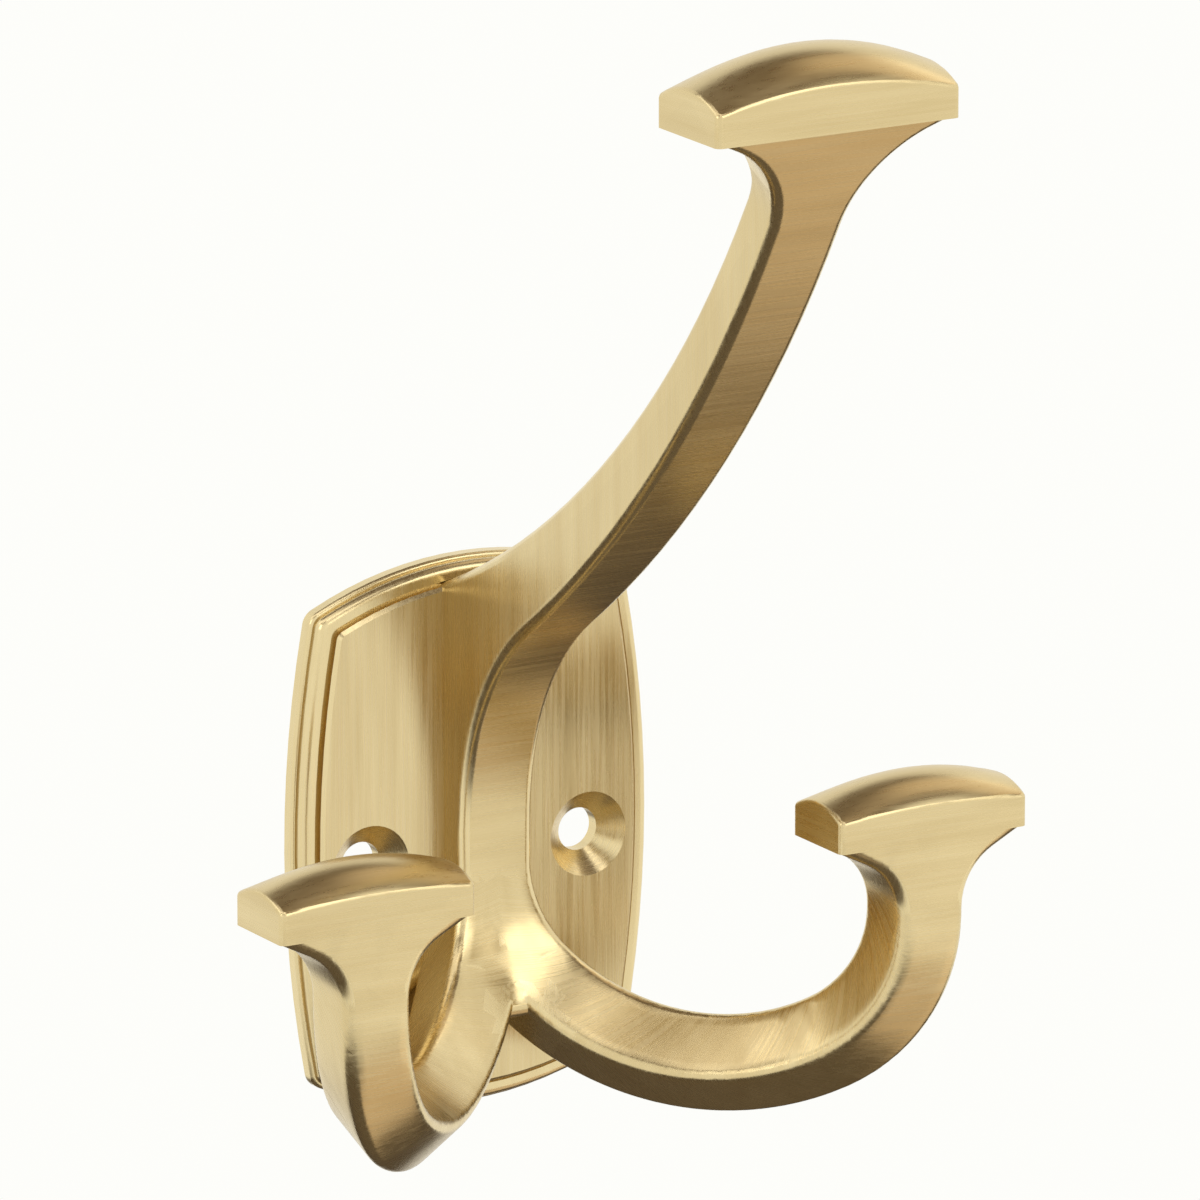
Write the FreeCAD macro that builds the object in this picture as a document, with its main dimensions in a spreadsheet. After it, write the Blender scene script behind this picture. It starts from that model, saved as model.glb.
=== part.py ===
import FreeCAD, Part

import math
import os
from types import SimpleNamespace

import Sketcher

# Triple prong wall hook: one brass casting, in millimetres.
# The wall is the plane y = 0, the hook stands out from it along -Y and +Z is up.
# The origin is the middle of the plate's flat back.

doc = FreeCAD.newDocument("WallHook")

SIZES = [
    # Backplate: four bowed sides, then the moulded border's layers from the wall outwards.
    ("plate_width", 44.5, "across the middle"),
    ("plate_height", 62.0, "up the middle"),
    ("side_bow", 136.0, "radius of the left and right sides"),
    ("end_bow", 44.0, "radius of the top and bottom"),
    ("base_height", 1.6, "top of the lowest layer above the wall"),
    ("base_corner", 2.0, "corner radius of the lowest layer"),
    ("base_round", 0.45, "rounding of the lowest layer's front edge"),
    ("ovolo_inset", 0.5, "the rounded moulding, in from the plate's edge"),
    ("ovolo_height", 3.0, "top of the rounded moulding"),
    ("ovolo_corner", 1.8, "corner radius of the rounded moulding"),
    ("ovolo_round", 0.95, "quarter round of the moulding"),
    ("quirk_inset", 2.1, "outer wall of the narrow groove round the field"),
    ("quirk_corner", 1.4, "corner radius of that wall"),
    ("quirk_depth", 0.45, "depth of that groove"),
    ("field_inset", 2.5, "edge of the raised field"),
    ("field_height", 3.9, "face of the field above the wall"),
    ("field_corner", 1.2, "corner radius of the field"),
    ("field_bevel", 0.4, "bevel round the field"),
    # Screw holes for a No. 8 countersunk wood screw.
    ("screw_spacing", 27.3, "between the two screw holes"),
    ("screw_drop", 2.0, "holes below the plate's middle"),
    ("screw_bore", 4.8, "through hole"),
    ("screw_sink", 9.5, "mouth of the countersink"),
    ("sink_angle", 90.0, "countersink angle in degrees"),
    # Stem: the web on the plate, which sweeps up and out as the top prong.
    ("stem_width", 9.1, "web and top prong, side to side"),
    ("strap_front", 7.8, "front of the web where it is upright"),
    ("web_root", 1.0, "back of the web, inside the plate"),
    ("bend_height", 1.5, "where the web starts to bend forward"),
    ("bend_radius", 31.0, "forward bend of the web's front"),
    ("rise_radius", 172.0, "upward curve of the top prong's front"),
    ("web_top", 29.1, "where the web's upper edge meets the field's plane"),
    ("web_slope", 23.3, "slope of the upper edge there, in degrees"),
    ("cove_radius", 4.5, "hollow under the back of the top head"),
    ("cove_turn", 26.9, "slope of that hollow where it meets the head, in degrees"),
    ("edge_round", 1.2, "rounding of the long edges"),
    # Top head: a crowned bar across the end of the top prong.
    ("top_reach", 78.2, "front of the top head from the wall"),
    ("top_seat", 92.8, "underside of the top head"),
    ("top_length", 29.3, "top head, side to side"),
    ("top_depth", 12.3, "top head, front to back"),
    ("top_end_height", 3.3, "height of its end faces at their corners"),
    ("top_bow_rise", 1.8, "rise of its front edge over its length"),
    ("top_end_rise", 1.7, "rise of its crown over its depth, at its ends"),
    ("top_crown_rise", 3.3, "rise of its crown over its depth, at its middle"),
    ("top_flare_radius", 13.0, "hollow of the flare under it"),
    ("top_flare_slope", 26.0, "slope of the flare at the head, in degrees"),
    ("top_lean", 26.0, "forward lean of the flare, square to the prong's front, in degrees"),
    # Lower prongs: each is swept along three arcs, in an upright plane at 45 degrees to the wall.
    ("split_height", -2.7, "where the two lower prongs leave the web"),
    ("prong_spread", 34.4, "middle of each lower head, sideways and outwards from the web"),
    ("prong_thickness", 8.0, "lower prong, front to back at the web"),
    ("prong_end_width", 8.2, "lower prong, front to back under its head"),
    ("neck_height", -5.0, "where a lower prong turns upright"),
    ("leave_radius", 18.4, "bend where the prong leaves the web"),
    ("belly_radius", 29.0, "bend along the bottom"),
    ("turn_radius", 17.8, "bend up to the head"),
    # Saddle: the rounded bridge in the fork, measured from the split and the web's front.
    ("saddle_width", 5.2, "side to side"),
    ("saddle_foot", 16.2, "underside below the split"),
    ("saddle_reach", 3.5, "middle of its rounded nose, out from the web's front"),
    ("saddle_nose", 1.2, "rounding of its nose"),
    ("saddle_crest", 9.5, "top below the split"),
    ("saddle_swell", 2.1, "front at the top, out from the web's front"),
    ("saddle_root", 2.8, "back, in from the web's front"),
    # Lower heads.
    ("low_seat", 3.6, "underside of a lower head"),
    ("low_length", 23.6, "lower head, side to side"),
    ("low_depth", 10.1, "lower head, front to back"),
    ("low_end_height", 3.4, "height of its end faces at their corners"),
    ("low_bow_rise", 0.6, "rise of its front edge over its length"),
    ("low_end_rise", 1.3, "rise of its crown over its depth, at its ends"),
    ("low_crown_rise", 2.8, "rise of its crown over its depth, at its middle"),
    ("low_flare_radius", 7.0, "hollow of the flare under it"),
    ("low_flare_slope", 27.0, "slope of the flare at the head, in degrees"),
    ("low_cove_radius", 3.0, "hollow under its back"),
    # Both kinds of head.
    ("head_step", 0.15, "overhang of a head past the flare under it"),
    ("head_corner", 0.7, "rounding of a head's upright corners"),
    ("head_lip", 0.6, "rounding round a head's crown"),
]

sheet = doc.addObject("Spreadsheet::Sheet", "Sizes")
for row, (alias, value, note) in enumerate(SIZES, start=1):
    sheet.set(f"A{row}", note)
    sheet.set(f"B{row}", str(value))
    sheet.setAlias(f"B{row}", alias)
doc.recompute()

# The same cells, read back, for the places where each sketch's edges are first drawn.
now = SimpleNamespace(**{alias: float(getattr(sheet, alias)) for alias, _, _ in SIZES})

# Ends of a sketch's edge, as its constraints number them.
START, END, CENTRE = range(1, 4)
AXIS_X, AXIS_Y = range(-1, -3, -1)
# Room by which a cutter reaches past what it cuts.
CLEAR = 6.0
# Room by which the cutter of a head's crown laps over its front and back.
SILL = 1.0
# Turn of a lower prong's plane from the wall. At 45 degrees its faces come square at both ends.
PRONG_TURN = 45.0


def sin(degrees):
    """Sine of an angle in degrees."""
    return math.sin(math.radians(degrees))


def cos(degrees):
    """Cosine of an angle in degrees."""
    return math.cos(math.radians(degrees))


def heading(here, there):
    """Angle in degrees from one point to another."""
    return math.degrees(math.atan2(there[1] - here[1], there[0] - here[0]))


def crossing(a, reach_a, b, reach_b):
    """The point at reach_a from a and reach_b from b, on the left of the way from a to b."""
    gap = math.dist(a, b)
    along = (reach_a ** 2 - reach_b ** 2 + gap ** 2) / (2 * gap)
    aside = math.sqrt(max(reach_a ** 2 - along ** 2, 0))
    ux, uy = (b[0] - a[0]) / gap, (b[1] - a[1]) / gap
    return a[0] + along * ux - aside * uy, a[1] + along * uy + aside * ux


class Outline:
    """A sketch on an origin plane of its own body, with its sizes bound to the sheet."""

    def __init__(self, body, name, plane, lift="0", turn=0.0):
        self.sketch = body.newObject("Sketcher::SketchObject", name)
        faces = body.Origin.OriginFeatures
        self.sketch.AttachmentSupport = [(next(f for f in faces if f.Role == plane), "")]
        self.sketch.MapMode = "FlatFace"
        about_up = FreeCAD.Rotation(FreeCAD.Vector(0, -1, 0), turn)
        self.sketch.AttachmentOffset = FreeCAD.Placement(FreeCAD.Vector(), about_up)
        self.sketch.setExpression(".AttachmentOffset.Base.z", lift)

    def line(self, begin, finish, construction=False):
        """A straight edge."""
        edge = Part.LineSegment(FreeCAD.Vector(*begin, 0), FreeCAD.Vector(*finish, 0))
        return self.sketch.addGeometry(edge, construction)

    def arc(self, middle, radius, first, last):
        """A round edge, anticlockwise between two angles in degrees."""
        circle = Part.Circle(FreeCAD.Vector(*middle, 0), FreeCAD.Vector(0, 0, 1), radius)
        edge = Part.ArcOfCircle(circle, math.radians(first), math.radians(last))
        return self.sketch.addGeometry(edge, False)

    def circle(self, middle, radius):
        """A full circle."""
        ring = Part.Circle(FreeCAD.Vector(*middle, 0), FreeCAD.Vector(0, 0, 1), radius)
        return self.sketch.addGeometry(ring, False)

    def hold(self, kind, *items):
        """Add a constraint that has no size."""
        return self.sketch.addConstraint(Sketcher.Constraint(kind, *items))

    def bind(self, kind, items, drawn, formula):
        """Add a constraint that starts at the drawn size and follows a formula."""
        index = self.sketch.addConstraint(Sketcher.Constraint(kind, *items, drawn))
        self.sketch.setExpression(f"Constraints[{index}]", formula)

    def radius(self, edge, formula):
        """Give a round edge its radius."""
        self.bind("Radius", (edge,), self.sketch.Geometry[edge].Radius, formula)

    def span(self, kind, edge_a, point_a, edge_b, point_b, formula):
        """Give two points their distance along X or Y."""
        gap = self.sketch.getPoint(edge_b, point_b) - self.sketch.getPoint(edge_a, point_a)
        drawn = gap.x if kind == "DistanceX" else gap.y
        self.bind(kind, (edge_a, point_a, edge_b, point_b), drawn, formula)

    def set_x(self, edge, point, formula):
        """Fix a point's X."""
        if formula == "0":
            self.hold("PointOnObject", edge, point, AXIS_Y)
        elif self.sketch.getPoint(edge, point).x > 0:
            self.span("DistanceX", AXIS_X, START, edge, point, formula)
        else:
            self.span("DistanceX", edge, point, AXIS_X, START, f"-({formula})")

    def set_y(self, edge, point, formula):
        """Fix a point's Y."""
        if formula == "0":
            self.hold("PointOnObject", edge, point, AXIS_X)
        elif self.sketch.getPoint(edge, point).y > 0:
            self.span("DistanceY", AXIS_X, START, edge, point, formula)
        else:
            self.span("DistanceY", edge, point, AXIS_X, START, f"-({formula})")

    def place(self, edge, point, x, y):
        """Fix a point by two formulas."""
        self.set_x(edge, point, x)
        self.set_y(edge, point, y)

    def polygon(self, points):
        """Straight edges through some points and back to the first."""
        edges = [self.line(p, q) for p, q in zip(points, points[1:] + points[:1])]
        for edge, following in zip(edges, edges[1:] + edges[:1]):
            self.hold("Coincident", edge, END, following, START)
        return edges

    def round_rectangle(self, box, x, y, wide, deep, corner):
        """A rectangle with round corners, drawn at box and bound to five formulas."""
        left, right, low, high, r = box
        quarters = []
        for n, (cx, cy) in enumerate(((right, high), (left, high), (left, low), (right, low))):
            middle = (cx - math.copysign(r, cx - (left + right) / 2),
                      cy - math.copysign(r, cy - (low + high) / 2))
            quarters.append(self.arc(middle, r, 90 * n, 90 * n + 90))
        top = self.line((right - r, high), (left + r, high))
        port = self.line((left, high - r), (left, low + r))
        foot = self.line((left + r, low), (right - r, low))
        starboard = self.line((right, low + r), (right, high - r))
        for n, side in enumerate((top, port, foot, starboard)):
            self.hold("Tangent", quarters[n], END, side, START)
            self.hold("Tangent", side, END, quarters[(n + 1) % 4], START)
            if n:
                self.hold("Equal", quarters[0], quarters[n])
        self.hold("Horizontal", top)
        self.hold("Vertical", port)
        self.radius(quarters[0], corner)
        self.span("DistanceX", port, START, starboard, END, wide)
        self.span("DistanceY", foot, START, top, END, deep)
        self.set_x(starboard, END, f"{x} + {wide} / 2")
        self.set_y(top, START, f"{y} + {deep} / 2")


def tip_forward(outline, lean, up, out):
    """Lean a front view forward about a level line, which lies up and out by two formulas."""
    drawn = FreeCAD.Rotation(FreeCAD.Vector(1, 0, 0), getattr(now, lean))
    outline.sketch.AttachmentOffset = FreeCAD.Placement(FreeCAD.Vector(), drawn)
    outline.sketch.setExpression(".AttachmentOffset.Rotation.Angle", f"Sizes.{lean}")
    outline.sketch.setExpression(".AttachmentOffset.Base.y", up)
    outline.sketch.setExpression(".AttachmentOffset.Base.z", out)


def new_body(name):
    """A body with its own label."""
    body = doc.addObject("PartDesign::Body", name)
    body.Label = name
    return body


def add_pad(body, name, outline, length, both_ways=False):
    """Pad an outline by a formula."""
    pad = body.newObject("PartDesign::Pad", name)
    pad.Profile = outline.sketch
    pad.setExpression("Length", length)
    if both_ways:
        pad.SideType = "Symmetric"
    doc.recompute()
    return pad


def check_cut(cut):
    """Stop if a cut takes nothing away."""
    before = cut.BaseFeature.Shape.Volume
    doc.recompute()
    if not cut.Shape.Volume < before:
        raise RuntimeError(cut.Name + " cuts nothing")


def add_pocket(body, name, outline, length=None):
    """Cut an outline to a depth, or right through both ways."""
    pocket = body.newObject("PartDesign::Pocket", name)
    pocket.Profile = outline.sketch
    if length is None:
        pocket.SideType = "Two sides"
        pocket.Type = "ThroughAll"
        pocket.Type2 = "ThroughAll"
    else:
        pocket.setExpression("Length", length)
    check_cut(pocket)
    return pocket


def add_round(body, name, base, radius, wanted, kind="PartDesign::Fillet"):
    """Round or bevel those edges of a feature whose boxes pass a test."""
    names = []
    for number, edge in enumerate(base.Shape.Edges, start=1):
        if wanted(edge.BoundBox):
            names.append(f"Edge{number}")
    dressing = body.newObject(kind, name)
    dressing.Base = (base, names)
    dressing.setExpression("Size" if kind == "PartDesign::Chamfer" else "Radius", radius)
    doc.recompute()
    return dressing


def cells(names):
    """The cell references of some aliases."""
    return [f"Sizes.{name}" for name in names]


def flat_at(value, low, high):
    """Whether a stretch of a box lies at one value."""
    return abs(low - value) < 0.01 and abs(high - value) < 0.01


# Backplate

def draw_bows(outline, inset, corner):
    """Four bowed sides with rounded corners, set in from the plate's edge."""
    drawn_inset = getattr(now, inset) if inset else 0.0
    inset_c = f"Sizes.{inset}" if inset else "0"
    small = getattr(now, corner)
    side, end = now.side_bow - drawn_inset, now.end_bow - drawn_inset
    across = now.side_bow - now.plate_width / 2
    up = now.end_bow - now.plate_height / 2
    hub = crossing((-across, 0), side - small, (0, -up), end - small)
    lean = heading((-across, 0), hub)
    tilt = heading((0, -up), hub)
    ring = [
        outline.arc((-across, 0), side, -lean, lean),
        outline.arc(hub, small, lean, tilt),
        outline.arc((0, -up), end, tilt, 180 - tilt),
        outline.arc((-hub[0], hub[1]), small, 180 - tilt, 180 - lean),
        outline.arc((across, 0), side, 180 - lean, 180 + lean),
        outline.arc((-hub[0], -hub[1]), small, 180 + lean, 180 + tilt),
        outline.arc((0, up), end, 180 + tilt, 360 - tilt),
        outline.arc((hub[0], -hub[1]), small, 360 - tilt, 360 - lean),
    ]
    for n, edge in enumerate(ring):
        outline.hold("Tangent", edge, END, ring[(n + 1) % 8], START)
    for n, edge in enumerate(ring):
        if n % 2:
            outline.radius(edge, f"Sizes.{corner}")
        else:
            outline.radius(edge, f"Sizes.{'end_bow' if n % 4 else 'side_bow'} - {inset_c}")
    outline.place(ring[0], CENTRE, "Sizes.plate_width / 2 - Sizes.side_bow", "0")
    outline.place(ring[4], CENTRE, "Sizes.side_bow - Sizes.plate_width / 2", "0")
    outline.place(ring[2], CENTRE, "0", "Sizes.plate_height / 2 - Sizes.end_bow")
    outline.place(ring[6], CENTRE, "0", "Sizes.end_bow - Sizes.plate_height / 2")


def rim_test(front):
    """A test for the edges round a layer's front face."""
    return lambda box: flat_at(-front, box.YMin, box.YMax)


def make_plate():
    """The backplate: base, rounded moulding, groove and raised field, with two screw holes."""
    body = new_body("plate")
    outline = Outline(body, "base_outline", "XZ_Plane")
    draw_bows(outline, "", "base_corner")
    base = add_pad(body, "base", outline, "Sizes.base_height")
    add_round(body, "base_edge", base, "Sizes.base_round", rim_test(now.base_height))

    outline = Outline(body, "ovolo_outline", "XZ_Plane")
    draw_bows(outline, "ovolo_inset", "ovolo_corner")
    ovolo = add_pad(body, "ovolo", outline, "Sizes.ovolo_height")
    add_round(body, "ovolo_edge", ovolo, "Sizes.ovolo_round", rim_test(now.ovolo_height))

    outline = Outline(body, "quirk_outline", "XZ_Plane", "Sizes.ovolo_height")
    draw_bows(outline, "quirk_inset", "quirk_corner")
    add_pocket(body, "quirk", outline, "Sizes.quirk_depth")

    outline = Outline(body, "field_outline", "XZ_Plane")
    draw_bows(outline, "field_inset", "field_corner")
    field = add_pad(body, "field", outline, "Sizes.field_height")
    add_round(body, "field_edge", field, "Sizes.field_bevel", rim_test(now.field_height),
              "PartDesign::Chamfer")

    outline = Outline(body, "screw_places", "XZ_Plane", "Sizes.field_height")
    for side in (-1, 1):
        ring = outline.circle((side * now.screw_spacing / 2, -now.screw_drop), now.screw_bore / 2)
        outline.radius(ring, "Sizes.screw_bore / 2")
        outline.place(ring, CENTRE, f"{side} * Sizes.screw_spacing / 2", "-Sizes.screw_drop")
    doc.recompute()
    holes = body.newObject("PartDesign::Hole", "screw_holes")
    holes.Profile = outline.sketch
    holes.DepthType = "ThroughAll"
    holes.HoleCutType = "Countersink"
    holes.HoleCutCustomValues = True
    holes.setExpression("Diameter", "Sizes.screw_bore")
    holes.setExpression("HoleCutDiameter", "Sizes.screw_sink")
    holes.setExpression("HoleCutCountersinkAngle", "Sizes.sink_angle")
    check_cut(holes)
    return body


# Heads and the flares that carry them

def draw_flare(outline, side, middle, names, seat_at, foot):
    """The space beside a neck and under one end of its head, seen from the front."""
    neck, length, radius, slope = (getattr(now, name) for name in names)
    neck_c, length_c, radius_c, slope_c = cells(names)
    mid, mid_c = middle
    seat, seat_c = seat_at
    foot_z, foot_c = foot
    reach = length / 2 - now.head_step
    reach_c = f"({length_c} / 2 - Sizes.head_step)"
    start = seat - radius * cos(slope) - sin(slope) / cos(slope) * (
        reach - neck / 2 - radius + radius * sin(slope))
    hub = (mid + side * (neck / 2 + radius), start)
    turn = (hub[0] - side * radius * sin(slope), start + radius * cos(slope))
    near, far = mid + side * neck / 2, mid + side * (reach + CLEAR)
    tip = (mid + side * reach, seat)
    wall = outline.line((near, foot_z), (near, start))
    if side > 0:
        bend, first, last = outline.arc(hub, radius, 90 + slope, 180), END, START
    else:
        bend, first, last = outline.arc(hub, radius, 0, 90 - slope), START, END
    ramp = outline.line(turn, tip)
    roof = outline.line(tip, (far, seat))
    flank = outline.line((far, seat), (far, foot_z))
    floor = outline.line((far, foot_z), (near, foot_z))
    outline.hold("Tangent", wall, END, bend, first)
    outline.hold("Tangent", bend, last, ramp, START)
    for edge, following in ((ramp, roof), (roof, flank), (flank, floor), (floor, wall)):
        outline.hold("Coincident", edge, END, following, START)
    for kind, edge in (("Vertical", wall), ("Vertical", flank),
                       ("Horizontal", roof), ("Horizontal", floor)):
        outline.hold(kind, edge)
    outline.radius(bend, radius_c)
    outline.place(wall, START, f"{mid_c} + {side} * {neck_c} / 2", foot_c)
    outline.set_y(bend, CENTRE, f"{seat_c} - {radius_c} * cos({slope_c}) - tan({slope_c}) * "
                  f"({reach_c} - {neck_c} / 2 - {radius_c} + {radius_c} * sin({slope_c}))")
    outline.place(ramp, END, f"{mid_c} + {side} * {reach_c}", seat_c)
    outline.set_x(flank, START, f"{mid_c} + {side} * ({reach_c} + {CLEAR})")


def draw_arch(body, name, lift, face, sizes):
    """The space over a crown at one place along it: an arch between two sills, and a box on top."""
    (front, front_c), (depth, depth_c), (rim, rim_c), (rise, rise_c), (high, high_c) = (
        face, *sizes)
    arch = ((depth / 2) ** 2 + rise ** 2) / (2 * rise)
    arch_c = f"((({depth_c} / 2) ^ 2 + {rise_c} ^ 2) / (2 * {rise_c}))"
    back = front + depth
    spread = math.degrees(math.asin(depth / 2 / arch))
    outline = Outline(body, name, "YZ_Plane", lift)
    vault = outline.arc((front + depth / 2, rim + rise - arch), arch, 90 - spread, 90 + spread)
    fore_sill = outline.line((front, rim), (front - SILL, rim))
    fore = outline.line((front - SILL, rim), (front - SILL, high))
    roof = outline.line((front - SILL, high), (back + SILL, high))
    rear = outline.line((back + SILL, high), (back + SILL, rim))
    rear_sill = outline.line((back + SILL, rim), (back, rim))
    ring = (vault, fore_sill, fore, roof, rear, rear_sill)
    for edge, following in zip(ring, ring[1:]):
        outline.hold("Coincident", edge, END, following, START)
    outline.hold("Coincident", rear_sill, END, vault, START)
    for kind, edge in (("Horizontal", fore_sill), ("Vertical", fore), ("Horizontal", roof),
                       ("Vertical", rear), ("Horizontal", rear_sill)):
        outline.hold(kind, edge)
    outline.radius(vault, arch_c)
    outline.place(vault, END, front_c, rim_c)
    outline.set_x(vault, START, f"{front_c} + {depth_c}")
    outline.place(fore, END, f"{front_c} - {SILL}", high_c)
    outline.set_x(rear, START, f"{front_c} + {depth_c} + {SILL}")
    return outline


def add_head(body, kind, middle, front):
    """A bar on the flare, with a crown that rises from its ends to its middle."""
    names = [f"{kind}_{part}" for part in
             ("length", "depth", "seat", "end_height", "bow_rise", "end_rise", "crown_rise")]
    length, depth, seat, end, bow, end_rise, crown = (getattr(now, name) for name in names)
    length_c, depth_c, seat_c, end_c, bow_c, end_rise_c, crown_c = cells(names)
    mid, mid_c = middle
    face, face_c = front
    outline = Outline(body, kind + "_head_outline", "XY_Plane", seat_c)
    box = (mid - length / 2, mid + length / 2, face, face + depth, now.head_corner)
    outline.round_rectangle(box, mid_c, f"{face_c} + {depth_c} / 2", length_c, depth_c,
                            "Sizes.head_corner")
    add_pad(body, kind + "_head", outline, f"{end_c} + {bow_c} + {crown_c} + {SILL}")

    high = (seat + end + bow + crown + CLEAR, f"{seat_c} + {end_c} + {bow_c} + {crown_c} + {CLEAR}")
    at_ends = ((depth, depth_c), (seat + end, f"({seat_c} + {end_c})"),
               (end_rise, end_rise_c), high)
    at_middle = ((depth, depth_c), (seat + end + bow, f"({seat_c} + {end_c} + {bow_c})"),
                 (crown, crown_c), high)
    left = draw_arch(body, kind + "_left_arch", f"{mid_c} - {length_c} / 2", front, at_ends)
    inner = draw_arch(body, kind + "_middle_arch", mid_c, front, at_middle)
    right = draw_arch(body, kind + "_right_arch", f"{mid_c} + {length_c} / 2", front, at_ends)
    doc.recompute()
    crown_cut = body.newObject("PartDesign::SubtractiveLoft", kind + "_crown")
    crown_cut.Profile = left.sketch
    crown_cut.Sections = [inner.sketch, right.sketch]
    check_cut(crown_cut)
    add_round(body, kind + "_lip", crown_cut, "Sizes.head_lip",
              lambda box: box.ZMin > seat + end - now.head_lip)


def long_edge_test(middle, neck, seat):
    """A test for the edges that run up a neck and out along its flares."""
    def test(box):
        aside = min(abs(box.XMin - middle), abs(box.XMax - middle)) > neck / 2 - 0.01
        level = box.ZLength < 0.05
        return aside and not level and box.ZMax < seat + 0.01
    return test


# Stem

def make_stem():
    """The web on the plate and the top prong, from one side view, with its head."""
    body = new_body("stem")
    outline = Outline(body, "side_view", "YZ_Plane")
    hub_1 = (-now.strap_front - now.bend_radius, now.bend_height)
    nose = (now.head_step - now.top_reach, now.top_seat)
    hub_2 = crossing(nose, now.rise_radius, hub_1, now.bend_radius + now.rise_radius)
    ridge = (-now.field_height, now.web_top)
    slope = now.web_slope
    heel = (now.top_depth - now.top_reach - now.head_step, now.top_seat)
    hub_4 = (heel[0] + now.cove_radius * sin(now.cove_turn),
             heel[1] - now.cove_radius * cos(now.cove_turn))
    drop = (ridge[0] - hub_4[0]) * sin(slope) + (ridge[1] - hub_4[1]) * cos(slope)
    back_radius = (now.cove_radius ** 2 - math.dist(ridge, hub_4) ** 2) / (
        2 * (drop + now.cove_radius))
    hub_3 = (ridge[0] + back_radius * sin(slope), ridge[1] + back_radius * cos(slope))
    tail = (-now.web_root, ridge[1] - (now.field_height - now.web_root) * sin(slope) / cos(slope))

    base = outline.line((-now.web_root, now.split_height), (-now.strap_front, now.split_height))
    strap = outline.line((-now.strap_front, now.split_height),
                         (-now.strap_front, now.bend_height))
    bend = outline.arc(hub_1, now.bend_radius, 0, heading(hub_1, hub_2))
    rise = outline.arc(hub_2, now.rise_radius, heading(hub_2, nose) % 360,
                       heading(hub_2, hub_1) % 360)
    top = outline.line(nose, heel)
    cove = outline.arc(hub_4, now.cove_radius, heading(hub_4, heel) % 360,
                       heading(hub_3, hub_4) % 360)
    back = outline.arc(hub_3, back_radius, heading(hub_3, hub_4) % 360, 270 - slope)
    root = outline.line(ridge, tail)
    spine = outline.line(tail, (-now.web_root, now.split_height))
    outline.hold("Coincident", base, END, strap, START)
    outline.hold("Tangent", strap, END, bend, START)
    outline.hold("Tangent", bend, END, rise, END)
    outline.hold("Coincident", rise, START, top, START)
    outline.hold("Coincident", top, END, cove, START)
    outline.hold("Tangent", cove, END, back, START)
    outline.hold("Tangent", back, END, root, START)
    outline.hold("Coincident", root, END, spine, START)
    outline.hold("Coincident", spine, END, base, START)
    outline.hold("Vertical", strap)
    outline.hold("Vertical", spine)
    outline.hold("Horizontal", base)
    outline.place(base, START, "-Sizes.web_root", "Sizes.split_height")
    outline.set_x(strap, START, "-Sizes.strap_front")
    outline.set_y(bend, START, "Sizes.bend_height")
    outline.radius(bend, "Sizes.bend_radius")
    outline.radius(rise, "Sizes.rise_radius")
    outline.radius(cove, "Sizes.cove_radius")
    outline.set_x(cove, CENTRE, "Sizes.top_depth - Sizes.top_reach - Sizes.head_step + "
                  "Sizes.cove_radius * sin(Sizes.cove_turn)")
    outline.place(top, START, "Sizes.head_step - Sizes.top_reach", "Sizes.top_seat")
    outline.place(top, END, "Sizes.top_depth - Sizes.top_reach - Sizes.head_step",
                  "Sizes.top_seat")
    outline.place(back, END, "-Sizes.field_height", "Sizes.web_top")
    outline.set_y(root, END, "Sizes.web_top - (Sizes.field_height - Sizes.web_root) * "
                  "tan(Sizes.web_slope)")
    add_pad(body, "side", outline, "Sizes.top_length", both_ways=True)

    outline = Outline(body, "front_view", "XZ_Plane")
    tip_forward(outline, "top_lean", "Sizes.top_seat", "Sizes.top_reach")
    names = ("stem_width", "top_length", "top_flare_radius", "top_flare_slope")
    below = (now.top_reach * sin(now.top_lean)
             + (now.top_seat - now.split_height) * cos(now.top_lean) + CLEAR)
    below_c = ("-(Sizes.top_reach * sin(Sizes.top_lean) + (Sizes.top_seat - Sizes.split_height)"
               f" * cos(Sizes.top_lean) + {CLEAR})")
    for side in (1, -1):
        draw_flare(outline, side, (0.0, "0"), names, (0.0, "0"), (-below, below_c))
    flares = add_pocket(body, "flares", outline)
    add_round(body, "long_edges", flares, "Sizes.edge_round",
              long_edge_test(0.0, now.stem_width, now.top_seat))
    add_head(body, "top", (0.0, "0"), (-now.top_reach, "-Sizes.top_reach"))
    return body


# Lower prongs

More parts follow.
